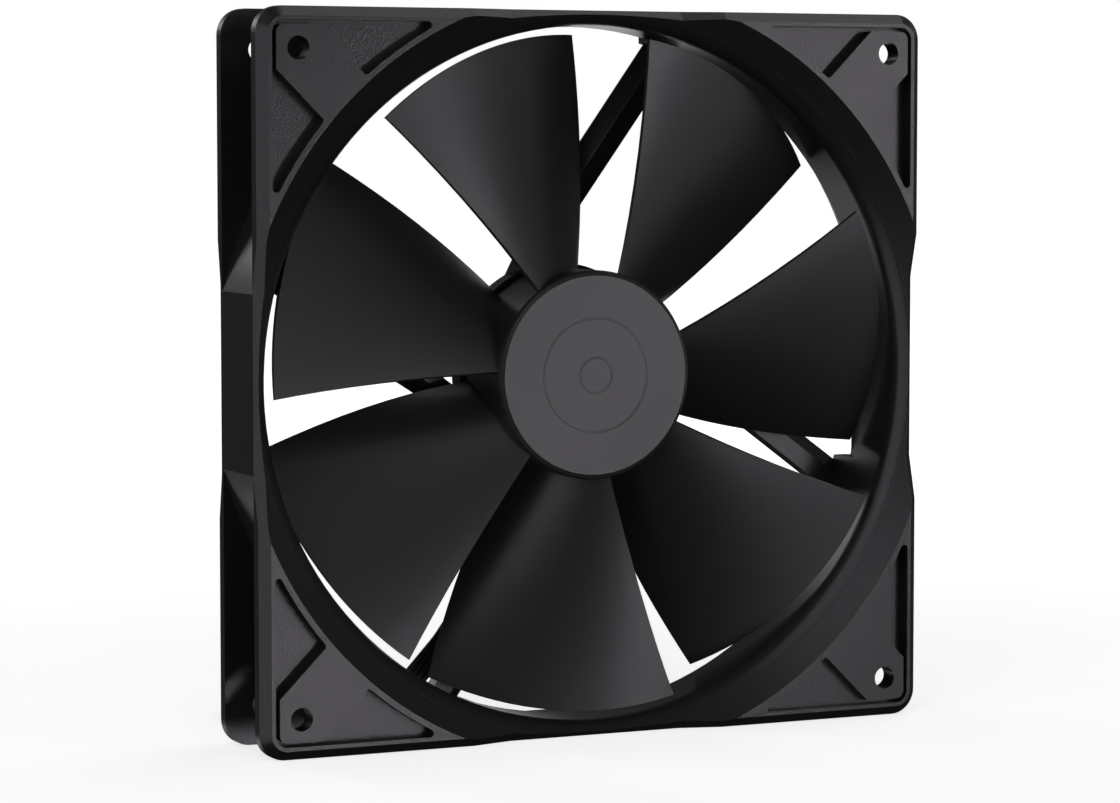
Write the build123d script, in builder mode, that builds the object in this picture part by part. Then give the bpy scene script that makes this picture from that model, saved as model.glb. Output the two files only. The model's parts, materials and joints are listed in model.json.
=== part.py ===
"""Case fan, 140 mm square and 25 mm deep, standing on its lower edge.

The origin is the middle of the fan, on the axis of the rotor. +X is to the right as seen from the
front, +Y goes from the front face to the back face, and +Z is up. "Depth" is the distance behind the
front face. All sizes are in millimetres.
"""

import os
from math import cos, pi, radians, sin

from build123d import *

# The frame
SIZE = 140.0
THICKNESS = 25.0
HALF = THICKNESS / 2
FLANGE = 4.2
CORNER_RADIUS = 5.0
EDGE_BEVEL = 1.85
HOLE_SPACING = 124.5
HOLE_RADIUS = 2.2
SIDE_BEVEL_LONG = 26.5
SIDE_BEVEL_SHORT = 18.0
FRONT_BEVEL_DROP = 1.6
REAR_BEVEL_DROP = 1.0

# The duct, from the bell mouth to the rear opening
DUCT_OUTER = 72.0
MOUTH_RADIUS = 74.1
MOUTH_CONE_RADIUS = 69.3
MOUTH_CONE_DEPTH = 3.25
THROAT_RADIUS = 67.2
THROAT_FRONT = 6.6
THROAT_REAR = 17.0
REAR_RADIUS = 70.8
REAR_FLAT = 67.8
REAR_FLAT_LENGTH = 42.0

# The recessed corners of both flanges
POCKET_DEPTH = 2.8
POCKET_OUTER = 67.4
POCKET_CORNER = 2.4
POCKET_RING = 75.2
POCKET_FILLET = 0.75
PAD_EDGE = 66.6
PAD_CORNER = 1.6
PAD_WIDTH = 11.7

# The struts and the motor base, moulded with the frame
STRUT_ANGLE = 53.7
STRUT_COUNT = 4
STRUT_FRONT = 21.9
STRUT_INNER = 14.85
STRUT_BEVEL = 2.9
STRUT_LAND = 0.3
STRUT_STATIONS = ((4.0, 18.2), (12.0, 19.5), (20.0, 20.5), (33.0, 21.4), (67.8, 21.6))
FOOT_SIDE = 13.5
FOOT_START = 60.0
FOOT_LENGTH = 13.0
FOOT_HEIGHT = 19.4
BASE_RADIUS = 21.2
BASE_RIM_INNER = 19.8
BASE_FRONT = 20.9
BASE_FLOOR = 23.4
BOSS_RADIUS = 6.2
BOSS_FRONT = 20.8
LABEL_RECESS_RADIUS = 19.0
LABEL_RADIUS = 18.8
LABEL_THICKNESS = 0.2

# The bearing, from the mouth of its tube to the thrust pad
TUBE_RADIUS = 4.5
TUBE_BORE = 3.4
TUBE_FRONT = 9.6
TUBE_REAR = 24.0
SEAL_REAR = 10.6
SEAL_BORE = 1.58
SLEEVE_REAR = 22.0
SLEEVE_BORE = 1.53
SHAFT_RADIUS = 1.5
SHAFT_REAR = 23.3
GROOVE_FRONT = 21.7
GROOVE_REAR = 22.6
GROOVE_RADIUS = 1.0
CLIP_BORE = 1.08
CLIP_REAR = 22.3
PAD_FRONT = 23.4

# The rotor
HUB_FRONT = 3.7
HUB_RADIUS = 20.25
HUB_EDGE = 1.0
HUB_INNER = 18.9
HUB_FLOOR = 5.2
HUB_REAR = 20.2
HUB_LABEL_RADIUS = 12.0
YOKE_INNER = 17.9
YOKE_FLOOR = 6.2
YOKE_REAR = 19.2
MAGNET_INNER = 16.3
MAGNET_FRONT = 8.2
MAGNET_REAR = 18.6
BUSHING_RADIUS = 3.5
BUSHING_REAR = 9.0

# The blades: where a blade is cut across its length, with its leading and trailing edge there
BLADE_COUNT = 7
BLADE_TIP = 65.7
BLADE_STATIONS = (
    # distance, leading edge across, trailing edge across, front depth, rear depth, camber, thickness
    (18.0, 7.6, -7.0, 4.9, 19.0, 1.5, 2.3),
    (32.0, 15.0, -11.0, 4.4, 19.2, 2.2, 2.0),
    (48.0, 24.5, -14.0, 4.6, 18.6, 2.6, 1.6),
    (68.0, 38.5, -16.0, 5.2, 17.4, 2.8, 1.3),
)

# The stator
CORE_FRONT = 10.0
CORE_REAR = 16.5
CORE_RADIUS = 15.8
CORE_SHOE = 13.9
CORE_HUB = 7.0
CORE_ARM = 5.0
CORE_SHOE_ANGLE = 76.0
INSULATOR_HUB = 7.4
INSULATOR_ARM = 5.8
INSULATOR_PLATE = 0.9
INSULATOR_WALL = 1.0
INSULATOR_RISE = 0.9
COIL_INNER = 7.7
COIL_OUTER = 12.8
COIL_WIDTH = 9.3
COIL_FRONT = 8.3
COIL_REAR = 18.2
COIL_FILLET = 1.0

# The circuit board and what is on it
BOARD_FRONT = 19.6
BOARD_REAR = 20.8
BOARD_RADIUS = 17.4
BOARD_BORE = 4.6
PIN_RADIUS = 0.4
PIN_CIRCLE = 8.4
PIN_FRONT = 17.9
PIN_REAR = 21.4

# The wires, held beside the lower strut, and the collar that they leave by
WIRE_COUNT = 4
WIRE_RADIUS = 0.58
WIRE_PITCH = 1.23
WIRE_DEPTH = 23.3
WIRE_BOARD_DEPTH = 21.5
WIRE_AT_STRUT = 14.0
WIRE_AT_FOOT = 12.85
WIRE_END = 74.0
WIRE_TURN = 180.0
WIRE_SLOT_SIDE = 8.4
NOTCH_DEPTH = 22.4
NOTCH_END = 75.3
COLLAR_LENGTH = 7.0
COLLAR_WIDTH = 4.9
COLLAR_HEIGHT = 1.9

# The lead, stored as a flat coil behind the fan
LEAD_RADIUS = 1.5
COIL_LIFT = 0.5
COIL_CENTRE = (-42.1, 39.3)
COIL_RADIUS = 15.0
COIL_ENTRY = -34.0
TAIL_START = 200.0
TAIL_ANGLE = 135.0
TAIL_RADIUS = 9.0
TIE_ANGLE = 62.0
TIE_SWEEP = 14.0
TIE_THICKNESS = 0.5
HOUSING_LENGTH = 11.5
HOUSING_WIDTH = 10.2
HOUSING_HEIGHT = 4.4
HOUSING_RIB = 1.3
TERMINAL_PITCH = 2.54
TERMINAL_WIDTH = 1.5

FLOOR = -SIZE / 2
LANE = 2 * LEAD_RADIUS
LOWER_TURN = FLOOR + COIL_LIFT + LEAD_RADIUS
UPPER_TURN = LOWER_TURN + LANE


def level(depth):
    """The plane this far behind the front face, facing the front, with the axis at its origin."""
    return Plane.XZ.offset(HALF - depth)


def turn(*outline, mode=Mode.ADD):
    """Revolves an outline of (radius, depth) points about the axis of the fan."""
    with BuildSketch(Plane.XY) as profile:
        with BuildLine():
            Polyline(*[(radius, depth - HALF) for radius, depth in outline], close=True)
        make_face()
    revolve(profile.sketch, axis=Axis.Y, mode=mode)


def sleeve(inner, outer, front, rear):
    """A plain ring about the axis."""
    turn((inner, front), (outer, front), (outer, rear), (inner, rear))


def strut_plane(index):
    """A plane across strut number index, with x away from the axis and y towards the front."""
    angle = radians(STRUT_ANGLE + index * 360 / STRUT_COUNT)
    along = Vector(cos(angle), 0, sin(angle))
    across = Vector(-sin(angle), 0, cos(angle))
    return Plane(origin=(0, 0, 0), x_dir=across, z_dir=along)


def from_strut(along, across, depth, angle=WIRE_TURN):
    """A point given along and across the strut turned by angle from the upper one."""
    turned = radians(STRUT_ANGLE + angle)
    x = along * cos(turned) - across * sin(turned)
    z = along * sin(turned) + across * cos(turned)
    return Vector(x, depth - HALF, z)


def arm_positions(count=4, start=0.0):
    """The angles of parts that stand around the axis."""
    return [start + index * 360 / count for index in range(count)]


def export(piece, name):
    """Labels a finished piece and writes it as parts/name.step."""
    piece.part.label = name
    export_step(piece.part, f"parts/{name}.step")


os.makedirs("parts", exist_ok=True)

# ---------------------------------------------------------------- frame

with BuildSketch() as pads:
    for angle in (45, -45):
        Rectangle(2 * SIZE, PAD_WIDTH, rotation=angle)
    RectangleRounded(2 * PAD_EDGE, 2 * PAD_EDGE, PAD_CORNER, mode=Mode.INTERSECT)

with BuildSketch() as pockets:
    RectangleRounded(2 * POCKET_OUTER, 2 * POCKET_OUTER, POCKET_CORNER)
    Circle(POCKET_RING, mode=Mode.SUBTRACT)
    add(pads.sketch, mode=Mode.SUBTRACT)
    ring_corners = [v for v in pockets.vertices() if abs(Vector(v).length - POCKET_RING) < 0.01]
    fillet(ring_corners, POCKET_FILLET)

with BuildSketch() as foot_outline:
    # The lower edge lies along the strut, and the upper edge along the flat of the opening.
    foot_near = from_strut(FOOT_START, FOOT_SIDE, HALF, -90)
    foot_far = from_strut(FOOT_START + FOOT_LENGTH, FOOT_SIDE, HALF, -90)
    foot_top = -FOOT_HEIGHT
    with BuildLine():
        Polyline(
            (foot_near.X, foot_near.Z),
            (foot_far.X, foot_far.Z),
            (REAR_FLAT + 0.1, foot_far.Z),
            (REAR_FLAT + 0.1, foot_top),
            (foot_near.X, foot_top),
            close=True,
        )
    make_face()
    Circle(DUCT_OUTER, mode=Mode.INTERSECT)
    Circle(THROAT_RADIUS, mode=Mode.SUBTRACT)

with BuildPart() as frame:
    for back in (FLANGE, THICKNESS):
        with BuildSketch(level(back)):
            RectangleRounded(SIZE, SIZE, CORNER_RADIUS)
        extrude(amount=FLANGE)
    for face in (frame.faces().sort_by(Axis.Y)[0], frame.faces().sort_by(Axis.Y)[-1]):
        chamfer(face.outer_wire().edges(), EDGE_BEVEL)
    with BuildSketch(level(THICKNESS - FLANGE)):
        Circle(DUCT_OUTER)
        Rectangle(SIZE, SIZE, mode=Mode.INTERSECT)
    extrude(amount=THICKNESS - 2 * FLANGE)

    # The bell mouth, the throat and the flare of the rear opening.
    with BuildSketch(Plane.XY):
        with BuildLine():
            Polyline(
                (0, -HALF - 1),
                (MOUTH_RADIUS + 1.48, -HALF - 1),
                (MOUTH_CONE_RADIUS, MOUTH_CONE_DEPTH - HALF),
            )
            Spline(
                (MOUTH_CONE_RADIUS, MOUTH_CONE_DEPTH - HALF),
                (THROAT_RADIUS, THROAT_FRONT - HALF),
                tangents=((MOUTH_CONE_RADIUS - MOUTH_RADIUS, MOUTH_CONE_DEPTH), (0, 1)),
            )
            Polyline(
                (THROAT_RADIUS, THROAT_FRONT - HALF),
                (THROAT_RADIUS, THROAT_REAR - HALF),
                (REAR_RADIUS, HALF),
                (REAR_RADIUS, HALF + 1),
                (0, HALF + 1),
                (0, -HALF - 1),
            )
        make_face()
    revolve(axis=Axis.Y, mode=Mode.SUBTRACT)

    # The four flats that cut the rear opening off, and the feet of the struts.
    with BuildSketch(level(THICKNESS)):
        with PolarLocations((SIZE / 2 + REAR_FLAT) / 2, 4):
            Rectangle(SIZE / 2 - REAR_FLAT, REAR_FLAT_LENGTH)
        Circle(DUCT_OUTER, mode=Mode.INTERSECT)
    extrude(amount=THICKNESS - THROAT_REAR)
    for angle in arm_positions():
        with BuildSketch(level(THICKNESS)):
            add(foot_outline.sketch, rotation=angle)
        extrude(amount=THICKNESS - THROAT_REAR)

    # The bevel of each outer edge is deeper along the middle of the side.
    for angle in arm_positions():
        for front, drop in ((1, FRONT_BEVEL_DROP), (-1, REAR_BEVEL_DROP)):
            outward = Vector(cos(radians(angle)), 0, sin(radians(angle)))
            along = Vector(-sin(radians(angle)), 0, cos(radians(angle)))
            slope = (outward + Vector(0, front, 0)).normalized()
            edge = outward * (SIZE / 2 - EDGE_BEVEL) + Vector(0, -front * HALF, 0)
            with BuildSketch(Plane(origin=edge, x_dir=along, z_dir=slope)) as side_bevel:
                inward = 1 if side_bevel.workplanes[0].y_dir.dot(outward) < 0 else -1
                with BuildLine():
                    Polyline(
                        (-SIDE_BEVEL_LONG, 0),
                        (-SIDE_BEVEL_SHORT, inward * drop),
                        (SIDE_BEVEL_SHORT, inward * drop),
                        (SIDE_BEVEL_LONG, 0),
                        (SIDE_BEVEL_LONG, -inward * 5),
                        (-SIDE_BEVEL_LONG, -inward * 5),
                        close=True,
                    )
                make_face()
            extrude(amount=12, both=True, mode=Mode.SUBTRACT)

    # The recessed corners of both faces, and the mounting holes.
    for plane in (level(POCKET_DEPTH), level(THICKNESS)):
        with BuildSketch(plane):
            add(pockets.sketch)
        extrude(amount=POCKET_DEPTH, mode=Mode.SUBTRACT)
    with BuildSketch(level(THICKNESS)):
        with GridLocations(HOLE_SPACING, HOLE_SPACING, 2, 2):
            Circle(HOLE_RADIUS)
    extrude(amount=THICKNESS, mode=Mode.SUBTRACT)

    # The struts: flat in front, bevelled on the side away from the axis.
    for index in range(STRUT_COUNT):
        for along, outer in STRUT_STATIONS:
            with BuildSketch(strut_plane(index).offset(along)):
                with BuildLine():
                    Polyline(
                        (STRUT_INNER, HALF - THICKNESS),
                        (outer, HALF - THICKNESS),
                        (outer, HALF - THICKNESS + STRUT_LAND),
                        (outer - STRUT_BEVEL, HALF - STRUT_FRONT),
                        (STRUT_INNER + 0.2, HALF - STRUT_FRONT),
                        close=True,
                    )
                make_face()
        loft(ruled=True)

    # The motor base: a tray with a boss for the bearing tube and a recess for the label.
    with BuildSketch(level(THICKNESS)):
        Circle(BASE_RADIUS)
    extrude(amount=THICKNESS - BASE_FRONT)
    with BuildSketch(level(BASE_FLOOR)):
        Circle(BASE_RIM_INNER)
        Circle(BOSS_RADIUS, mode=Mode.SUBTRACT)
    extrude(amount=BASE_FLOOR - BASE_FRONT + 1, mode=Mode.SUBTRACT)
    with BuildSketch(level(BOSS_FRONT + 1)):
        Circle(BOSS_RADIUS)
    extrude(amount=1)
    with BuildSketch(level(TUBE_REAR)):
        Circle(TUBE_RADIUS)
    extrude(amount=TUBE_REAR - BOSS_FRONT + 1, mode=Mode.SUBTRACT)
    with BuildSketch(level(THICKNESS)):
        Circle(LABEL_RECESS_RADIUS)
    extrude(amount=LABEL_THICKNESS, mode=Mode.SUBTRACT)

    # The way of the wires: a slot in the rim of the base and a notch in the rear flange.
    slot_half = (STRUT_INNER - WIRE_SLOT_SIDE) / 2
    slot_middle = (STRUT_INNER + WIRE_SLOT_SIDE) / 2
    with BuildSketch(Plane(
        origin=from_strut(16.5, slot_middle, BASE_FLOOR),
        x_dir=from_strut(1, 0, HALF),
        z_dir=(0, -1, 0),
    )):
        Rectangle(9, 2 * slot_half)
    extrude(amount=BASE_FLOOR - BASE_FRONT + 1, mode=Mode.SUBTRACT)
    notch_middle = (FOOT_SIDE + WIRE_SLOT_SIDE) / 2
    notch_start = THROAT_RADIUS - 4
    with BuildSketch(Plane(
        origin=from_strut((notch_start + NOTCH_END) / 2, notch_middle, THICKNESS),
        x_dir=from_strut(1, 0, HALF),
        z_dir=(0, -1, 0),
    )):
        RectangleRounded(NOTCH_END - notch_start, FOOT_SIDE - WIRE_SLOT_SIDE, 0.8)
    extrude(amount=THICKNESS - NOTCH_DEPTH, mode=Mode.SUBTRACT)
export(frame, "frame")

with BuildPart() as rear_label:
    sleeve(0, LABEL_RADIUS, THICKNESS - LABEL_THICKNESS, THICKNESS)
export(rear_label, "rear_label")

# ---------------------------------------------------------------- bearing

with BuildPart() as bearing_tube:
    sleeve(TUBE_BORE, TUBE_RADIUS, TUBE_FRONT, TUBE_REAR)
export(bearing_tube, "bearing_tube")

with BuildPart() as oil_seal_ring:
    sleeve(SEAL_BORE, TUBE_BORE, TUBE_FRONT, SEAL_REAR)
export(oil_seal_ring, "oil_seal_ring")

with BuildPart() as bearing_sleeve:
    turn(
        (SLEEVE_BORE + 0.4, SEAL_REAR),
        (TUBE_BORE, SEAL_REAR),
        (TUBE_BORE, SLEEVE_REAR),
        (SLEEVE_BORE + 0.4, SLEEVE_REAR),
        (SLEEVE_BORE, SLEEVE_REAR - 0.4),
        (SLEEVE_BORE, SEAL_REAR + 0.4),
    )
export(bearing_sleeve, "bearing_sleeve")

with BuildPart() as shaft_clip:
    sleeve(CLIP_BORE, TUBE_BORE, SLEEVE_REAR, CLIP_REAR)
    with BuildSketch(level(CLIP_REAR)):
        with PolarLocations(2.0, 3):
            Rectangle(1.4, 0.5)
    extrude(amount=CLIP_REAR - SLEEVE_REAR, mode=Mode.SUBTRACT)
export(shaft_clip, "shaft_clip")

with BuildPart() as thrust_pad:
    sleeve(0, TUBE_BORE, PAD_FRONT, TUBE_REAR)
export(thrust_pad, "thrust_pad")

# ---------------------------------------------------------------- rotor

with BuildPart() as shaft:
    turn(
        (0, HUB_FLOOR),
        (SHAFT_RADIUS, HUB_FLOOR),
        (SHAFT_RADIUS, GROOVE_FRONT),
        (GROOVE_RADIUS, GROOVE_FRONT),
        (GROOVE_RADIUS, GROOVE_REAR),
        (SHAFT_RADIUS - 0.1, GROOVE_REAR),
        (SHAFT_RADIUS - 0.5, SHAFT_REAR - 0.1),
        (0, SHAFT_REAR),
    )
export(shaft, "shaft")

with BuildPart() as shaft_bushing:
    turn(
        (SHAFT_RADIUS, HUB_FLOOR),
        (BUSHING_RADIUS, HUB_FLOOR),
        (BUSHING_RADIUS, BUSHING_REAR - 0.3),
        (BUSHING_RADIUS - 0.3, BUSHING_REAR),
        (SHAFT_RADIUS, BUSHING_REAR),
    )
export(shaft_bushing, "shaft_bushing")

with BuildPart() as rotor_yoke:
    turn(
        (BUSHING_RADIUS, HUB_FLOOR),
        (HUB_INNER, HUB_FLOOR),
        (HUB_INNER, YOKE_REAR),
        (YOKE_INNER, YOKE_REAR),
        (YOKE_INNER, YOKE_FLOOR),
        (BUSHING_RADIUS, YOKE_FLOOR),
    )
export(rotor_yoke, "rotor_yoke")

with BuildPart() as magnet_ring:
    sleeve(MAGNET_INNER, YOKE_INNER, MAGNET_FRONT, MAGNET_REAR)
export(magnet_ring, "magnet_ring")

with BuildPart() as hub_label:
    sleeve(0, HUB_LABEL_RADIUS, HUB_FRONT, HUB_FRONT + LABEL_THICKNESS)
export(hub_label, "hub_label")


def blade_section(distance, leading, trailing, front, rear, camber, thickness):
    """The face of a cambered blade in the plane that cuts the blade this far from the axis."""
    plane = Plane(origin=(distance, 0, 0), x_dir=(0, 0, 1), z_dir=(1, 0, 0))
    upright = plane.y_dir.Y
    nose = Vector(leading, upright * (front - HALF))
    tail = Vector(trailing, upright * (rear - HALF))
    chord = tail - nose
    normal = Vector(-chord.Y, chord.X).normalized() * upright
    middle = (nose + tail) / 2 + normal * camber
    with BuildSketch(plane) as section:
        with BuildLine():
            ThreePointArc(nose + normal * 0.35, middle + normal * thickness / 2, tail + normal * 0.35)
            Line(tail + normal * 0.35, tail - normal * 0.35)
            ThreePointArc(tail - normal * 0.35, middle - normal * thickness / 2, nose - normal * 0.35)
            Line(nose - normal * 0.35, nose + normal * 0.35)
        make_face()
    return section.sketch


with BuildPart() as blade:
    loft([blade_section(*station) for station in BLADE_STATIONS])
    with BuildSketch(level(THICKNESS)):
        Circle(BLADE_TIP)
        Circle(HUB_INNER + 0.5, mode=Mode.SUBTRACT)
    extrude(amount=THICKNESS, mode=Mode.INTERSECT)

with BuildPart() as impeller:
    turn(
        (0, HUB_FRONT),
        (HUB_RADIUS - HUB_EDGE, HUB_FRONT),
        (HUB_RADIUS - 0.3, HUB_FRONT + 0.3),
        (HUB_RADIUS, HUB_FRONT + HUB_EDGE),
        (HUB_RADIUS, HUB_REAR),
        (HUB_INNER, HUB_REAR),
        (HUB_INNER, HUB_FLOOR),
        (0, HUB_FLOOR),
    )
    turn(
        (0, HUB_FRONT),
        (HUB_LABEL_RADIUS, HUB_FRONT),
        (HUB_LABEL_RADIUS, HUB_FRONT + LABEL_THICKNESS),
        (0, HUB_FRONT + LABEL_THICKNESS),
        mode=Mode.SUBTRACT,
    )
    for angle in arm_positions(BLADE_COUNT):
        add(blade.part.rotate(Axis.Y, angle))
export(impeller, "impeller")

# ---------------------------------------------------------------- stator

with BuildSketch() as core_outline:
    Circle(CORE_HUB)
    with PolarLocations(0, 4):
        with Locations((CORE_SHOE / 2, 0)):
            Rectangle(CORE_SHOE + 1, CORE_ARM)
    with BuildSketch(mode=Mode.PRIVATE) as shoes:
        Circle(CORE_RADIUS)
        Circle(CORE_SHOE, mode=Mode.SUBTRACT)
        for angle in arm_positions(start=45):
            Rectangle(2 * SIZE, 2 * CORE_SHOE * sin(radians(45 - CORE_SHOE_ANGLE / 2)),
                      rotation=angle, mode=Mode.SUBTRACT)
    add(shoes.sketch)
    Circle(TUBE_RADIUS, mode=Mode.SUBTRACT)

with BuildPart() as stator_core:
    with BuildSketch(level(CORE_REAR)):
        add(core_outline.sketch)
    extrude(amount=CORE_REAR - CORE_FRONT)
export(stator_core, "stator_core")


def insulator(near, far, wall):
    """Half of the coil former, against the core at depth near, with walls that reach depth wall."""
    with BuildSketch(level(max(near, far))) as arms:
        Circle(INSULATOR_HUB)
        with PolarLocations((INSULATOR_HUB + COIL_OUTER) / 2, 4):
            Rectangle(COIL_OUTER - INSULATOR_HUB + 1, INSULATOR_ARM)
        Circle(TUBE_RADIUS, mode=Mode.SUBTRACT)
    extrude(arms.sketch, amount=abs(far - near))
    with BuildSketch(level(max(near, wall))) as walls:
        with PolarLocations(COIL_OUTER + INSULATOR_WALL / 2, 4):
            Rectangle(INSULATOR_WALL, COIL_WIDTH)
    extrude(walls.sketch, amount=abs(wall - near))


with BuildPart() as upper_insulator:
    insulator(CORE_FRONT, CORE_FRONT - INSULATOR_PLATE, COIL_FRONT - 0.3)
export(upper_insulator, "upper_insulator")

with BuildPart() as lower_insulator:
    insulator(CORE_REAR, CORE_REAR + INSULATOR_PLATE, COIL_REAR + 0.3)
    with BuildSketch(level(PIN_FRONT + 0.6)):
        with PolarLocations(PIN_CIRCLE, 4, start_angle=45):
            Circle(1.2)
    extrude(amount=PIN_FRONT + 0.6 - CORE_REAR)
    with BuildSketch(level(PIN_FRONT + 0.6)):
        with PolarLocations(PIN_CIRCLE, 4, start_angle=45):
            Circle(PIN_RADIUS)
    extrude(amount=0.6, mode=Mode.SUBTRACT)
export(lower_insulator, "lower_insulator")

with BuildPart() as stator_coils:
    for angle in arm_positions():
        radial = Vector(cos(radians(angle)), 0, sin(radians(angle)))
        plane = Plane(origin=radial * COIL_INNER, x_dir=(0, -1, 0), z_dir=radial)
        centre = HALF - (COIL_FRONT + COIL_REAR) / 2
        opening = HALF - (CORE_FRONT + CORE_REAR) / 2
        with BuildSketch(plane):
            with Locations((centre, 0)):
                RectangleRounded(COIL_REAR - COIL_FRONT, COIL_WIDTH, COIL_FILLET)
            with Locations((opening, 0)):
                Rectangle(CORE_REAR - CORE_FRONT + 2 * INSULATOR_PLATE, INSULATOR_ARM,
                          mode=Mode.SUBTRACT)
        extrude(amount=COIL_OUTER - COIL_INNER)
export(stator_coils, "stator_coils")

with BuildPart() as winding_pins:
    with BuildSketch(level(PIN_REAR)):
        with PolarLocations(PIN_CIRCLE, 4, start_angle=45):
            Circle(PIN_RADIUS)
    extrude(amount=PIN_REAR - PIN_FRONT)
export(winding_pins, "winding_pins")

# ---------------------------------------------------------------- circuit board

with BuildPart() as circuit_board:
    with BuildSketch(level(BOARD_REAR)):
        Circle(BOARD_RADIUS)
        Circle(BOARD_BORE, mode=Mode.SUBTRACT)
        with PolarLocations(PIN_CIRCLE, 4, start_angle=45):
            Circle(PIN_RADIUS, mode=Mode.SUBTRACT)
    extrude(amount=BOARD_REAR - BOARD_FRONT)
export(circuit_board, "circuit_board")

with BuildPart() as driver_chip:
    with BuildSketch(level(BOARD_REAR + 1.5)):
        with Locations((11.6, 5.5)):
            Rectangle(4.9, 3.9)
    extrude(amount=1.5)
    chamfer(driver_chip.edges().filter_by(Axis.Y), 0.2)
export(driver_chip, "driver_chip")

with BuildPart() as hall_sensor:
    with BuildSketch(level(BOARD_FRONT)):
        with Locations((10.9, 10.9)):
            Rectangle(2.8, 1.5, rotation=-45)
    extrude(amount=0.7)
export(hall_sensor, "hall_sensor")

with BuildPart() as board_components:
    for x, z, width, height, tall in (
        (-11.5, 6.5, 3.2, 1.6, 1.0),
        (-11.5, 9.5, 2.0, 1.25, 0.6),
        (-8.0, 11.5, 2.0, 1.25, 0.6),
        (-2.5, 13.5, 3.2, 2.5, 1.4),
        (3.0, 13.5, 2.0, 1.25, 0.6),
        (7.5, 12.0, 1.6, 0.8, 0.5),
        (13.0, -2.0, 1.6, 0.8, 0.5),
        (11.5, -6.0, 3.2, 1.6, 1.0),
    ):
        with BuildSketch(level(BOARD_REAR + tall)):
            with Locations((x, z)):
                Rectangle(width, height)
        extrude(amount=tall)
export(board_components, "board_components")

# ---------------------------------------------------------------- wires and lead


def wire_route(index):
    """The corners of one wire, from the board, along the strut and round into the collar."""
    at_strut = WIRE_AT_STRUT - index * WIRE_PITCH
    at_foot = WIRE_AT_FOOT - index * WIRE_PITCH
    return [
        from_strut(9.5, at_strut, WIRE_BOARD_DEPTH),
        from_strut(15.5, at_strut, WIRE_BOARD_DEPTH + 0.1),
        from_strut(24.0, at_strut, WIRE_DEPTH),
        from_strut(57.0, at_strut, WIRE_DEPTH + 0.1),
        from_strut(66.0, at_foot, WIRE_DEPTH),
        from_strut(WIRE_END, at_foot, WIRE_DEPTH - 0.1),
        from_strut(WIRE_END, at_foot, THICKNESS),
    ]


WIRE_CORNERS = (4.0, 4.0, 15.0, 15.0, 1.5)

with BuildPart() as strut_wires:
    for index in range(WIRE_COUNT):
        route = wire_route(index)
        with BuildLine() as wire_path:
            FilletPolyline(*route, radius=WIRE_CORNERS)
        with BuildSketch(Plane(origin=route[0], z_dir=route[1] - route[0])):
            Circle(WIRE_RADIUS)
        sweep(path=wire_path.line)
export(strut_wires, "strut_wires")

collar_middle = WIRE_AT_FOOT - WIRE_PITCH * (WIRE_COUNT - 1) / 2
collar_start = from_strut(WIRE_END, collar_middle, THICKNESS)
collar_end = collar_start + Vector(0, COLLAR_LENGTH, 0)
across_strut = from_strut(0, 1, HALF)

with BuildPart() as lead_collar:
    with BuildSketch(Plane(origin=collar_start, x_dir=across_strut, z_dir=(0, 1, 0))):
        SlotOverall(COLLAR_WIDTH, COLLAR_HEIGHT)
    with BuildSketch(Plane(origin=collar_end, x_dir=across_strut, z_dir=(0, 1, 0))):
        SlotOverall(2 * LEAD_RADIUS + 0.8, 2 * LEAD_RADIUS + 0.7)
    loft()
export(lead_collar, "lead_collar")


def on_coil(radius, angle, height=UPPER_TURN):
    """A point given round the stored coil, at an angle that grows anticlockwise from above."""
    x = COIL_CENTRE[0] + radius * cos(radians(angle))
    y = COIL_CENTRE[1] + radius * sin(radians(angle))
    return Vector(x, y, height)


coil_entry = on_coil(COIL_RADIUS, COIL_ENTRY)
LEAD_ROUTE = [
    collar_end,
    Vector(-34.3, 23.1, -66.0),
    Vector(-32.8, 26.3, -65.5),
    coil_entry,
]


def corner_radii(route):
    """The radius of the arc at each corner: 0.45 of the shorter run over the tangent of half the turn."""
    runs = [b - a for a, b in zip(route, route[1:])]
    return [
        0.45 * min(before.length, after.length) / tangent(before.get_angle(after) / 2)
        for before, after in zip(runs, runs[1:])
    ]


def tangent(angle):
    """The tangent of an angle in degrees."""
    return sin(radians(angle)) / cos(radians(angle))


LEAD_RADII = corner_radii(LEAD_ROUTE)
print("radii of the lead:", [round(radius, 1) for radius in LEAD_RADII])

with BuildPart() as lead_tube:
    with BuildLine() as lead_path:
        FilletPolyline(*LEAD_ROUTE, radius=LEAD_RADII)
    with BuildSketch(Plane(origin=LEAD_ROUTE[0], z_dir=LEAD_ROUTE[1] - LEAD_ROUTE[0])):
        Circle(LEAD_RADIUS)
    sweep(path=lead_path.line)
expected = pi * LEAD_RADIUS**2 * lead_path.wire().length
print("lead volume over section times length:", round(lead_tube.part.volume / expected, 4))
export(lead_tube, "lead_tube")

tail_centre = on_coil(COIL_RADIUS - TAIL_RADIUS, TAIL_START)
tail_end = tail_centre + Vector(
    TAIL_RADIUS * cos(radians(TAIL_START + TAIL_ANGLE)),
    TAIL_RADIUS * sin(radians(TAIL_START + TAIL_ANGLE)),
)
tail_heading = Vector(
    -sin(radians(TAIL_START + TAIL_ANGLE)),
    cos(radians(TAIL_START + TAIL_ANGLE)),
)

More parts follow.
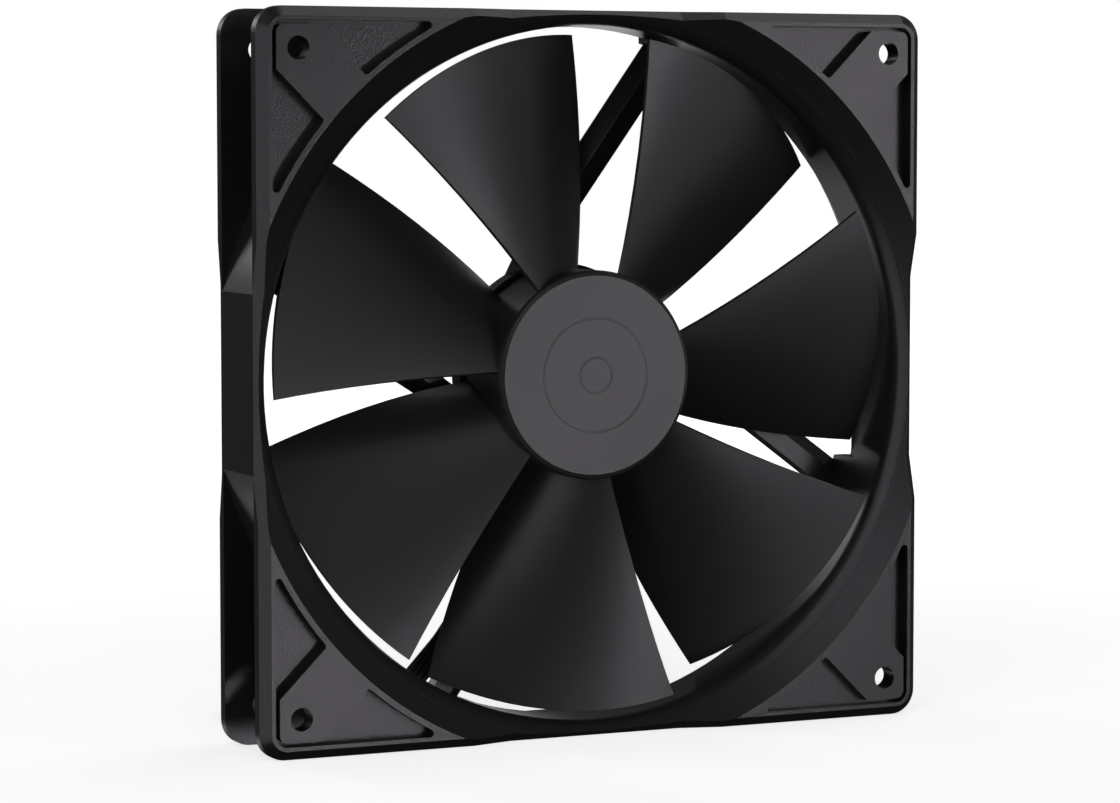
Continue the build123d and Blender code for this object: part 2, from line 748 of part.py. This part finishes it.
with BuildPart() as lead_coil:
    with BuildSketch(Plane.XY.offset(FLOOR + COIL_LIFT)):
        with Locations(COIL_CENTRE):
            Circle(COIL_RADIUS + LEAD_RADIUS)
            Circle(COIL_RADIUS - LEAD_RADIUS, mode=Mode.SUBTRACT)
    extrude(amount=2 * LANE)
    with BuildSketch(Plane.XY.offset(FLOOR + COIL_LIFT)):
        with BuildLine():
            for radius in (TAIL_RADIUS + LEAD_RADIUS, TAIL_RADIUS - LEAD_RADIUS):
                CenterArc((tail_centre.X, tail_centre.Y), radius, TAIL_START, TAIL_ANGLE)
            for angle in (TAIL_START, TAIL_START + TAIL_ANGLE):
                direction = Vector(cos(radians(angle)), sin(radians(angle)))
                centre = Vector(tail_centre.X, tail_centre.Y)
                Line(
                    centre + direction * (TAIL_RADIUS - LEAD_RADIUS),
                    centre + direction * (TAIL_RADIUS + LEAD_RADIUS),
                )
        make_face()
    extrude(amount=LANE)
export(lead_coil, "lead_coil")

with BuildPart() as coil_tie:
    direction = Vector(cos(radians(TIE_ANGLE)), sin(radians(TIE_ANGLE)), 0)
    around = Vector(-direction.Y, direction.X, 0)
    middle = on_coil(COIL_RADIUS, TIE_ANGLE, (LOWER_TURN + UPPER_TURN) / 2)
    with BuildSketch(Plane(origin=middle, x_dir=direction, z_dir=around)):
        RectangleRounded(LANE + 2 * TIE_THICKNESS, 2 * LANE + 2 * TIE_THICKNESS, 0.6)
        Rectangle(LANE, 2 * LANE, mode=Mode.SUBTRACT)
    revolve(axis=Axis((*COIL_CENTRE, 0), (0, 0, 1)), revolution_arc=TIE_SWEEP)
export(coil_tie, "coil_tie")

housing_origin = Vector(tail_end.X, tail_end.Y, FLOOR)
sideways = Vector(-tail_heading.Y, tail_heading.X, 0)
housing_plane = Plane(origin=housing_origin, x_dir=sideways, z_dir=tail_heading)
housing_up = 1 if housing_plane.y_dir.Z > 0 else -1
slot_positions = [(index - (WIRE_COUNT - 1) / 2) * TERMINAL_PITCH for index in range(WIRE_COUNT)]
housing_middle = housing_up * HOUSING_HEIGHT / 2

with BuildPart() as connector_housing:
    with BuildSketch(housing_plane):
        with Locations((0, housing_middle)):
            Rectangle(HOUSING_WIDTH, HOUSING_HEIGHT)
        with Locations(*[
            (place, housing_up * (HOUSING_HEIGHT + HOUSING_RIB / 2)) for place in (-3.4, 1.4)
        ]):
            Rectangle(0.9, HOUSING_RIB)
    extrude(amount=HOUSING_LENGTH)
    with BuildSketch(housing_plane.offset(1)):
        with Locations(*[(place, housing_middle) for place in slot_positions]):
            Rectangle(TERMINAL_WIDTH + 0.3, TERMINAL_WIDTH + 0.5)
    extrude(amount=HOUSING_LENGTH, mode=Mode.SUBTRACT)
export(connector_housing, "connector_housing")

with BuildPart() as connector_terminals:
    with BuildSketch(housing_plane.offset(1)):
        with Locations(*[(place, housing_middle) for place in slot_positions]):
            Rectangle(TERMINAL_WIDTH, TERMINAL_WIDTH)
            Rectangle(TERMINAL_WIDTH - 0.6, TERMINAL_WIDTH - 0.6, mode=Mode.SUBTRACT)
    extrude(amount=HOUSING_LENGTH - 2.2)
export(connector_terminals, "connector_terminals")
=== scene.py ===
import json
import math

import bpy
from mathutils import Matrix, Vector


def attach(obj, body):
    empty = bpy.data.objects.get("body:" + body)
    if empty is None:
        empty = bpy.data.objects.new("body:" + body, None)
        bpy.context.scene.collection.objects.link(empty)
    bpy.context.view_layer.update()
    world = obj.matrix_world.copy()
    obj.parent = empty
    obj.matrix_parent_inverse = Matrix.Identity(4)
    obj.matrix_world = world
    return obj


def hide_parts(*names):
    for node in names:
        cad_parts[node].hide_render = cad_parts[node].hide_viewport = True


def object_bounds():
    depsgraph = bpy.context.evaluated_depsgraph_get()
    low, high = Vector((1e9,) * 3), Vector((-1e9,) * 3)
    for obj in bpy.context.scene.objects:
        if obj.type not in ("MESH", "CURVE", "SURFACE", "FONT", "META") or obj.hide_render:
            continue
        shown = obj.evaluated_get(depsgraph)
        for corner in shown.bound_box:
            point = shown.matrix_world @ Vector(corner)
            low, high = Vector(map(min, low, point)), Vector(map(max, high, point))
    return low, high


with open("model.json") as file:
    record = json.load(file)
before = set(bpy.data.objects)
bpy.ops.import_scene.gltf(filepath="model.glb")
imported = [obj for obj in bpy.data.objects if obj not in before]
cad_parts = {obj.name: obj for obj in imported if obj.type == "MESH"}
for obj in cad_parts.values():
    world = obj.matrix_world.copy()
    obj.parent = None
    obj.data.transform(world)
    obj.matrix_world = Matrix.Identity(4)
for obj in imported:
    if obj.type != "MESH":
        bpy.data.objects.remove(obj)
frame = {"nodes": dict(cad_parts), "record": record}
cad_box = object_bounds()
nodes = frame["nodes"]
scene = bpy.context.scene
MM = 0.001


# ---------------------------------------------------------------- camera

# The place is in metres and the turns are in degrees.
CAMERA_PLACE = (-0.3001, -0.6411, 0.0467)
CAMERA_YAW = 24.82
CAMERA_PITCH = 4.23
CAMERA_LENS = 116.9

camera_data = bpy.data.cameras.new("camera")
camera_data.lens = CAMERA_LENS
camera_data.sensor_width = 36.0
camera_data.clip_start = 0.01
camera = bpy.data.objects.new("camera", camera_data)
camera.location = CAMERA_PLACE
camera.rotation_euler = (math.radians(90 - CAMERA_PITCH), 0, math.radians(-CAMERA_YAW))
scene.collection.objects.link(camera)
scene.camera = camera
scene.view_settings.view_transform = "Standard"


# ---------------------------------------------------------------- the lead

# Places, lengths and radii are in metres, and angles are in degrees. The lead goes down from the collar
# through three points, then round the coil, and its end bends more tightly into the connector.
LEAD_DIAMETER = 3.0 * MM
LEAD_LENGTH = 0.189
LEAD_ROUTE = [
    (-0.03494, 0.0195, -0.06615),
    (-0.0343, 0.0231, -0.0660),
    (-0.0328, 0.0263, -0.0655),
]
COIL_CENTRE = (-0.0421, 0.0393)
COIL_RADIUS = 0.0150
UPPER_TURN = -0.0650
LOWER_TURN = -0.0680
COIL_FROM, DESCENT_FROM, DESCENT_TO, TAIL_FROM = -34, 202, 266, 560
COIL_STEPS = 40
TAIL_RADIUS = 0.0090
TAIL_TURN = 135
TAIL_STEPS = 9
TUBE_RESOLUTION = 8


def turn_height(angle):
    """The height of the lead in the coil at this angle: the upper turn, then the lower one."""
    share = min(1.0, max(0.0, (angle - DESCENT_FROM) / (DESCENT_TO - DESCENT_FROM)))
    share = share * share * (3 - 2 * share)
    return UPPER_TURN + (LOWER_TURN - UPPER_TURN) * share


def around(centre, radius, angle, height):
    """A point on a level circle."""
    return (
        centre[0] + radius * math.cos(math.radians(angle)),
        centre[1] + radius * math.sin(math.radians(angle)),
        height,
    )


def lead_points():
    """The route of the lead from the collar, round the coil and into the connector."""
    points = list(LEAD_ROUTE)
    for step in range(COIL_STEPS + 1):
        angle = COIL_FROM + (TAIL_FROM - COIL_FROM) * step / COIL_STEPS
        points.append(around(COIL_CENTRE, COIL_RADIUS, angle, turn_height(angle)))
    tail_centre = around(COIL_CENTRE, COIL_RADIUS - TAIL_RADIUS, TAIL_FROM, LOWER_TURN)
    for step in range(1, TAIL_STEPS + 1):
        angle = TAIL_FROM + TAIL_TURN * step / TAIL_STEPS
        points.append(around(tail_centre, TAIL_RADIUS, angle, LOWER_TURN))
    return points


def nurbs_tube(name, points, radius):
    """A round tube along one smooth line with these control points."""
    data = bpy.data.curves.new(name, "CURVE")
    data.dimensions = "3D"
    data.bevel_depth = 1.0
    data.bevel_resolution = 6
    data.use_fill_caps = True
    spline = data.splines.new("NURBS")
    spline.points.add(len(points) - 1)
    for place, point in zip(spline.points, points):
        place.co = (*point, 1.0)
        place.radius = radius
    spline.order_u = 3
    spline.use_endpoint_u = True
    spline.resolution_u = TUBE_RESOLUTION
    piece = bpy.data.objects.new(name, data)
    scene.collection.objects.link(piece)
    return piece


lead = nurbs_tube("sleeved_lead", lead_points(), LEAD_DIAMETER / 2)
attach(lead, "fan_body")
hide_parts("lead_tube", "lead_coil")


# ---------------------------------------------------------------- materials

# Places on the fan where a finish starts or ends, in metres from its middle
FACE_DEPTH = -cad_box[0][1]
POCKET_FLOOR_DEPTH = FACE_DEPTH - 2.8 * MM
LEVEL_HALF, LEVEL_SOFT = 0.05 * MM, 0.05 * MM
HUB_RINGS_FULL, HUB_RINGS_END = -8.4 * MM, -8.2 * MM

# The pressed rings in the labels
LABEL_INNER_RING = 3.4 * MM
HUB_LABEL_RING = 11.0 * MM
REAR_LABEL_RING = 15.5 * MM
RING_HALF, RING_SOFT = 0.10 * MM, 0.14 * MM

# The distances after which a pattern repeats
HUB_RING_PITCH = 0.42 * MM
SHEET_THICKNESS = 0.5 * MM
WIRE_PITCH = 0.24 * MM
BRAID_PITCH = 1.9 * MM
BRAID_STRANDS = 6
FULL_TURN = 2 * math.pi


class Shader:
    """A material's node tree, with short ways to add and join nodes."""

    def __init__(self, name, color, roughness, metallic=0.0):
        self.material = bpy.data.materials.new(name)
        self.material.use_nodes = True
        self.tree = self.material.node_tree
        self.surface = self.tree.nodes["Principled BSDF"]
        self.surface.inputs["Base Color"].default_value = (*color, 1.0)
        self.surface.inputs["Roughness"].default_value = roughness
        self.surface.inputs["Metallic"].default_value = metallic
        self.surface.inputs["Specular Tint"].default_value = (1.0, 0.95, 1.02, 1.0)
        self.material.diffuse_color = (*color, 1.0)
        self.color = color
        self.place = self.node("ShaderNodeTexCoord").outputs["Object"]
        self.normal = None

    def node(self, kind, **settings):
        """A new node of this kind, with these settings."""
        made = self.tree.nodes.new(kind)
        for key, value in settings.items():
            setattr(made, key, value)
        return made

    def link(self, source, target):
        self.tree.links.new(source, target)

    def feed(self, socket, value):
        """Gives a socket a value, or links it where the value is another socket."""
        if isinstance(value, bpy.types.NodeSocket):
            self.link(value, socket)
        else:
            socket.default_value = value

    def math(self, operation, *values):
        made = self.node("ShaderNodeMath", operation=operation)
        for socket, value in zip(made.inputs, values):
            self.feed(socket, value)
        return made.outputs[0]

    def split(self, vector=None):
        """The three parts of the coordinates, or of another vector."""
        made = self.node("ShaderNodeSeparateXYZ")
        self.link(vector or self.place, made.inputs[0])
        return made.outputs

    def scaled(self, scale):
        """The coordinates times a scale for each axis."""
        made = self.node("ShaderNodeMapping")
        self.link(self.place, made.inputs["Vector"])
        made.inputs["Scale"].default_value = scale
        return made.outputs[0]

    def noise(self, scale, detail=3.0, roughness=0.55, vector=None):
        made = self.node("ShaderNodeTexNoise")
        self.link(vector or self.place, made.inputs["Vector"])
        made.inputs["Scale"].default_value = scale
        made.inputs["Detail"].default_value = detail
        made.inputs["Roughness"].default_value = roughness
        return made.outputs["Fac"]

    def cells(self, scale, feature="F1"):
        made = self.node("ShaderNodeTexVoronoi", feature=feature)
        self.link(self.place, made.inputs["Vector"])
        made.inputs["Scale"].default_value = scale
        return made.outputs["Distance"]

    def range(self, value, from_low, from_high, to_low, to_high, smooth=False):
        """The value moved from one range to another, and held inside it."""
        made = self.node("ShaderNodeMapRange")
        made.interpolation_type = "SMOOTHSTEP" if smooth else "LINEAR"
        for socket, number in zip(made.inputs, (value, from_low, from_high, to_low, to_high)):
            self.feed(socket, number)
        return made.outputs[0]

    def mix(self, share, first, second):
        """A colour between two others, which are sockets or three numbers each."""
        made = self.node("ShaderNodeMix", data_type="RGBA")
        self.feed(made.inputs["Factor"], share)
        for socket, value in ((made.inputs[6], first), (made.inputs[7], second)):
            is_socket = isinstance(value, bpy.types.NodeSocket)
            self.feed(socket, value if is_socket else (*value, 1.0))
        return made.outputs[2]

    def shade(self, low, high, share):
        """The material's colour between low and high times itself."""
        return self.mix(share, [low * c for c in self.color], [high * c for c in self.color])

    def bump(self, height, distance, strength=1.0):
        """Adds a bump of this height in metres to those that the material has."""
        made = self.node("ShaderNodeBump")
        made.inputs["Strength"].default_value = strength
        made.inputs["Distance"].default_value = distance
        self.link(height, made.inputs["Height"])
        if self.normal:
            self.link(self.normal, made.inputs["Normal"])
        self.normal = made.outputs[0]
        self.link(self.normal, self.surface.inputs["Normal"])

    def paint(self, color=None, roughness=None):
        """Links the surface's colour and roughness."""
        if color:
            self.link(color, self.surface.inputs["Base Color"])
        if roughness:
            self.link(roughness, self.surface.inputs["Roughness"])

    def diagonal(self, first, second):
        """The length of the diagonal of these two sides."""
        squares = [self.math("MULTIPLY", side, side) for side in (first, second)]
        return self.math("SQRT", self.math("ADD", *squares))

    def radius(self):
        """The distance from the fan's axis."""
        x, _, z = self.split()
        return self.diagonal(x, z)


def band(shader, value, middle, half, soft):
    """1 within half of the middle value, falling to 0 over soft."""
    away = shader.math("ABSOLUTE", shader.math("SUBTRACT", value, middle))
    return shader.range(away, half, half + soft, 1.0, 0.0, smooth=True)


def moulded(name, color, roughness, grain=9000, depth=0.012, mottle=0.08):
    """Moulded plastic with a fine grain, this deep in millimetres, and slightly uneven colour and gloss."""
    s = Shader(name, color, roughness)
    cloud = s.noise(140, 4)
    s.paint(
        s.shade(1 - mottle, 1 + mottle, cloud),
        s.range(s.noise(2400, 2), 0.3, 0.7, roughness - 0.02, roughness + 0.03),
    )
    s.bump(s.noise(grain, 2, 0.5), depth * MM)
    return s


def frame_plastic():
    """The frame: its faces are finely pebbled, and its pocket floors a little more so."""
    s = moulded("charcoal_frame", (0.0110, 0.0103, 0.0114), 0.30, grain=7000, depth=0.005)
    depth = s.math("ABSOLUTE", s.split()["Y"])
    pocket_floor = band(s, depth, POCKET_FLOOR_DEPTH, LEVEL_HALF, LEVEL_SOFT)
    face = band(s, depth, FACE_DEPTH, LEVEL_HALF, LEVEL_SOFT)
    grained = s.math("ADD", pocket_floor, s.math("MULTIPLY", face, 0.6))
    pebbles = s.cells(2300, "SMOOTH_F1")
    s.bump(s.math("MULTIPLY", pebbles, grained), 0.030 * MM)
    return s.material


def impeller_plastic():
    """The impeller: satin, with faint turned rings on the front of its hub."""
    s = moulded("charcoal_impeller", (0.0150, 0.0142, 0.0153), 0.33, grain=6000, depth=0.004)
    front = s.range(s.split()["Y"], HUB_RINGS_FULL, HUB_RINGS_END, 1.0, 0.0)
    rings = s.math("SINE", s.math("MULTIPLY", s.radius(), FULL_TURN / HUB_RING_PITCH))
    s.bump(s.math("MULTIPLY", rings, front), 0.0012 * MM)
    return s.material


def label_film(name, outer_ring):
    """A plain round film with two faint pressed rings."""
    s = moulded(name, (0.0160, 0.0152, 0.0163), 0.33, grain=5200, depth=0.004, mottle=0.06)
    distance = s.radius()
    rings = s.math(
        "ADD",
        band(s, distance, outer_ring, RING_HALF, RING_SOFT),
        band(s, distance, LABEL_INNER_RING, RING_HALF, RING_SOFT),
    )
    s.bump(rings, 0.03 * MM)
    return s.material


def turned_metal(name, color, roughness, pitch=0.09, depth=0.002):
    """Metal turned on a lathe: fine grooves round the fan's axis, sized in millimetres."""
    s = Shader(name, color, roughness, metallic=1.0)
    grooves = s.noise(1.0, 2, vector=s.scaled((0, 1 / (pitch * MM), 0)))
    s.paint(
        s.shade(0.86, 1.08, s.noise(700, 3)),
        s.range(grooves, 0.3, 0.7, roughness - 0.06, roughness + 0.1),
    )
    s.bump(grooves, depth * MM)
    return s.material


def sheet_steel(name, color, roughness):
    """Plated sheet with the spangle of its zinc."""
    s = Shader(name, color, roughness, metallic=1.0)
    s.paint(
        s.shade(0.82, 1.1, s.cells(420)),
        s.range(s.noise(2200, 3), 0.3, 0.7, roughness - 0.08, roughness + 0.12),
    )
    s.bump(s.noise(5200, 2), 0.004 * MM)
    return s.material


def stacked_steel():
    """The stator core: sheets stacked along the axis, with a dark seam between them."""
    s = Shader("stacked_core_steel", (0.30, 0.30, 0.31), 0.42, metallic=1.0)
    wave = s.math("SINE", s.math("MULTIPLY", s.split()["Y"], FULL_TURN / SHEET_THICKNESS))
    seam = s.range(wave, -1.0, -0.7, 0.0, 1.0)
    s.paint(s.mix(seam, (0.05, 0.045, 0.04), s.shade(0.8, 1.1, s.noise(1600, 3))))
    s.bump(seam, 0.03 * MM)
    return s.material


def windings():
    """Enamelled copper wire laid side by side round the arms, with painted shade in the grooves between the
    turns.
    """
    s = Shader("enamelled_copper", (0.46, 0.17, 0.06), 0.28, metallic=1.0)
    wave = s.math("SINE", s.math("MULTIPLY", s.radius(), FULL_TURN / WIRE_PITCH))
    # The grooves between the turns are painted dark copper as shade, and the crests keep the lit colour.
    unshaded_crest = s.range(wave, -1.0, 0.2, 0.0, 1.0)
    s.paint(s.mix(unshaded_crest, (0.12, 0.035, 0.012), s.shade(0.85, 1.15, s.noise(900, 3))))
    s.bump(wave, 0.05 * MM)
    return s.material


def board():
    """A green solder mask over copper tracks."""
    s = Shader("solder_mask", (0.012, 0.11, 0.045), 0.32)
    tracks = s.range(s.cells(330, "DISTANCE_TO_EDGE"), 0.05, 0.09, 0.0, 1.0)
    s.paint(s.mix(tracks, (0.006, 0.06, 0.024), s.shade(0.9, 1.15, s.noise(600, 2))))
    s.surface.inputs["Coat Weight"].default_value = 0.4
    s.bump(tracks, 0.02 * MM)
    return s.material


def woven_sleeve():
    """Braided sleeving: two families of strands that cross along the lead, with painted shade in the dips
    between them.
    """
    s = Shader("braided_sleeve", (0.020, 0.020, 0.021), 0.55)
    u, v, _ = s.split(s.tree.nodes["Texture Coordinate"].outputs["UV"])
    along = s.math("MULTIPLY", u, LEAD_LENGTH / BRAID_PITCH * FULL_TURN)
    round_it = s.math("MULTIPLY", v, BRAID_STRANDS * FULL_TURN)
    one_way = s.math("ADD", along, round_it)
    other_way = s.math("SUBTRACT", along, round_it)
    weave = s.math("MULTIPLY", s.math("SINE", one_way), s.math("SINE", other_way))
    threads = s.math("SINE", s.math("MULTIPLY", one_way, 5.0))
    # The colour is darker where the weave dips, as painted shade between the strands, and lighter on their
    # raised tops.
    s.paint(
        s.mix(s.range(weave, -0.9, 0.9, 0.0, 1.0), (0.008, 0.008, 0.0085), (0.038, 0.038, 0.040)),
        s.range(weave, -1.0, 1.0, 0.62, 0.46),
    )
    s.surface.inputs["Sheen Weight"].default_value = 0.25
    s.bump(weave, 0.16 * MM)
    s.bump(threads, 0.03 * MM, strength=0.5)
    return s.material


# The finish of each material slot in the record, and those of two pieces that have their own
MATERIALS = {
    "frame_plastic": frame_plastic(),
    "impeller_plastic": impeller_plastic(),
    "shaft_steel": turned_metal("ground_steel", (0.58, 0.58, 0.60), 0.16, 0.05, 0.0008),
    "yoke_steel": sheet_steel("zinc_plated_steel", (0.46, 0.47, 0.49), 0.38),
    "core_steel": stacked_steel(),
    "bushing_brass": turned_metal("turned_brass", (0.62, 0.45, 0.18), 0.28),
    "bearing_bronze": turned_metal("sintered_bronze", (0.36, 0.22, 0.11), 0.5, 0.2),
    "tube_brass": turned_metal("drawn_brass", (0.60, 0.43, 0.18), 0.3),
    "magnet": moulded("bonded_ferrite", (0.032, 0.030, 0.029), 0.62, 3600, 0.03).material,
    "seal_rubber": moulded("seal_rubber", (0.013, 0.013, 0.013), 0.6).material,
    "clip_plastic": moulded("clear_nylon", (0.62, 0.61, 0.56), 0.4).material,
    "insulator_plastic": moulded("natural_nylon", (0.50, 0.47, 0.38), 0.45).material,
    "copper_wire": windings(),
    "pin_tin": turned_metal("tinned_pin", (0.55, 0.54, 0.52), 0.3),
    "board_laminate": board(),
    "chip_epoxy": moulded("chip_epoxy", (0.014, 0.014, 0.015), 0.5, 5200, 0.02).material,
    "wire_insulation": moulded(
        "wire_insulation", (0.016, 0.016, 0.0165), 0.36, 5200, 0.004, mottle=0.15
    ).material,
    "lead_sleeve": woven_sleeve(),
    "heat_shrink": moulded("shrunk_tube", (0.012, 0.012, 0.0125), 0.42, 2600, 0.02).material,
    "connector_plastic": moulded("connector_nylon", (0.018, 0.018, 0.019), 0.36, 8200, 0.006).material,
    "terminal_tin": turned_metal("tinned_terminal", (0.56, 0.54, 0.50), 0.32),
}
LABELS = {
    "hub_label": label_film("hub_film", HUB_LABEL_RING),
    "rear_label": label_film("rear_film", REAR_LABEL_RING),
}

for entry in frame["record"]["subparts"]:
    piece = nodes[entry["node"]]
    chosen = LABELS.get(entry["node"]) or MATERIALS[entry["material_slot"]]
    piece.data.materials.clear()
    piece.data.materials.append(chosen)
lead.data.materials.append(MATERIALS["lead_sleeve"])


# ---------------------------------------------------------------- rounded edges

# Edges that turn by more than this many degrees are hard. On these pieces they are also rounded, by
# these widths in millimetres.
SMOOTH_ANGLE = 29
ROUNDING_SEGMENTS = 2
EDGE_ROUNDING = {
    "frame": 0.22,
    "impeller": 0.16,
    "coil_tie": 0.12,
    "connector_housing": 0.16,
    "lead_collar": 0.2,
}


def smooth_by_angle(piece, degrees):
    """Shades smooth, with hard edges where the faces turn by more than this."""
    mesh = piece.data
    mesh.shade_smooth()
    mesh.set_sharp_from_angle(angle=math.radians(degrees))


for name, piece in nodes.items():
    smooth_by_angle(piece, SMOOTH_ANGLE)
    if name in EDGE_ROUNDING:
        rounding = piece.modifiers.new("rounded_edges", "BEVEL")
        rounding.width = EDGE_ROUNDING[name] * MM
        rounding.segments = ROUNDING_SEGMENTS
        rounding.limit_method = "ANGLE"
        rounding.angle_limit = math.radians(SMOOTH_ANGLE)
        rounding.harden_normals = True


# ---------------------------------------------------------------- studio

# The floor glows like lit white paper, a little less near the fan than far from it. Sizes are in metres.
FLOOR_LEVEL = cad_box[0][2]
FLOOR_SIZE = 6.0
GLOW_NEAR, GLOW_FAR = 0.73, 1.0
GLOW_NEAR_REACH, GLOW_FAR_REACH = 0.1, 0.7

# The sky lights the fan more from above than from below: its strength grows between these two heights
# of a direction, which go from -1, straight down, to 1, straight up.
SKY_LOW, SKY_HIGH = -0.35, 0.25
SKY_LOW_STRENGTH, SKY_HIGH_STRENGTH = 0.015, 0.08

WHITE = (1, 1, 1, 1)


def pale_paper():
    paper = Shader("pale_paper", (0.8, 0.8, 0.8), 0.9)
    paper.paint(paper.shade(0.985, 1.0, paper.noise(40, 3)))
    paper.surface.inputs["Specular IOR Level"].default_value = 0.0
    paper.surface.inputs["Emission Color"].default_value = WHITE
    across, along, _ = paper.split()
    reach = paper.diagonal(across, along)
    glow = paper.range(reach, GLOW_NEAR_REACH, GLOW_FAR_REACH, GLOW_NEAR, GLOW_FAR, smooth=True)
    paper.link(glow, paper.surface.inputs["Emission Strength"])
    return paper.material


bpy.ops.mesh.primitive_plane_add(size=FLOOR_SIZE, location=(0, 0, FLOOR_LEVEL))
floor = bpy.context.object
floor.name = "studio_floor"
floor.visible_diffuse = False
floor.visible_glossy = False
floor.visible_shadow = False
floor.data.materials.append(pale_paper())


def soft_light(name, place, size, radiance, along=(0, 0, 1)):
    """A rectangular soft box that faces the fan's middle. Its first side lies along a direction."""
    data = bpy.data.lights.new(name, "AREA")
    data.shape = "RECTANGLE"
    data.size, data.size_y = size
    data.energy = radiance * math.pi * size[0] * size[1]
    away = Vector(place).normalized()
    first = Vector(along)
    first = (first - away * first.dot(away)).normalized()
    second = away.cross(first)
    rows = [[first[k], second[k], away[k], place[k]] for k in range(3)]
    lamp = bpy.data.objects.new(name, data)
    lamp.matrix_world = Matrix(rows + [[0, 0, 0, 1]])
    lamp.visible_camera = False
    scene.collection.objects.link(lamp)


def studio_sky():
    """A world that the camera sees white, and that lights the fan dimly, more so from above."""
    world = bpy.data.worlds.new("studio")
    world.use_nodes = True
    tree, link = world.node_tree.nodes, world.node_tree.links.new
    seen = tree.new("ShaderNodeBackground")
    seen.inputs["Color"].default_value = WHITE
    lighting = tree["Background"]
    lighting.inputs["Color"].default_value = WHITE
    direction = tree.new("ShaderNodeTexCoord")
    parts = tree.new("ShaderNodeSeparateXYZ")
    strength = tree.new("ShaderNodeMapRange")
    link(direction.outputs["Generated"], parts.inputs[0])
    link(parts.outputs["Z"], strength.inputs["Value"])
    strength.inputs["From Min"].default_value = SKY_LOW
    strength.inputs["From Max"].default_value = SKY_HIGH
    strength.inputs["To Min"].default_value = SKY_LOW_STRENGTH
    strength.inputs["To Max"].default_value = SKY_HIGH_STRENGTH
    link(strength.outputs[0], lighting.inputs["Strength"])
    rays = tree.new("ShaderNodeLightPath")
    chosen = tree.new("ShaderNodeMixShader")
    link(rays.outputs["Is Camera Ray"], chosen.inputs[0])
    link(lighting.outputs[0], chosen.inputs[1])
    link(seen.outputs[0], chosen.inputs[2])
    link(chosen.outputs[0], tree["World Output"].inputs[0])
    return world


# The key light is a long thin box, whose reflection runs across the front face from the lower left to
# the upper right. Each other light is for the surfaces that reflect it: back_panel, rear_light and
# low_left_light are mostly for the back of the fan.
soft_light("key_light", (0.58, -1.23, -0.09), (1.2, 0.07), 14.0, along=(0.71, 0, 0.70))
soft_light("front_panel", (0.55, -1.32, -0.05), (2.2, 1.9), 0.2)
soft_light("front_left_light", (-0.62, -0.9, 0.85), (0.9, 0.9), 0.9)
soft_light("right_light", (1.15, -0.62, -0.02), (0.5, 0.6), 0.5)
soft_light("top_light", (0.5, 0.15, 1.2), (0.8, 0.38), 1.5, along=(1, 0, 0))
soft_light("left_light", (-1.25, -0.5, -0.05), (1.6, 1.6), 0.8)
soft_light("rear_light", (1.1, 1.0, 0.55), (0.6, 0.7), 0.5)
soft_light("back_panel", (0.78, 1.25, -0.42), (0.8, 0.5), 1.1)
soft_light("low_left_light", (-1.05, 0.45, -0.5), (0.7, 0.5), 1.2)
soft_light("duct_light", (-0.48, 1.15, 0.5), (0.45, 0.5), 2.0, along=(1, 0, 0))
soft_light("low_duct_light", (-0.36, 1.15, -0.55), (0.45, 0.35), 0.8, along=(1, 0, 0))
scene.world = studio_sky()

bpy.context.view_layer.update()
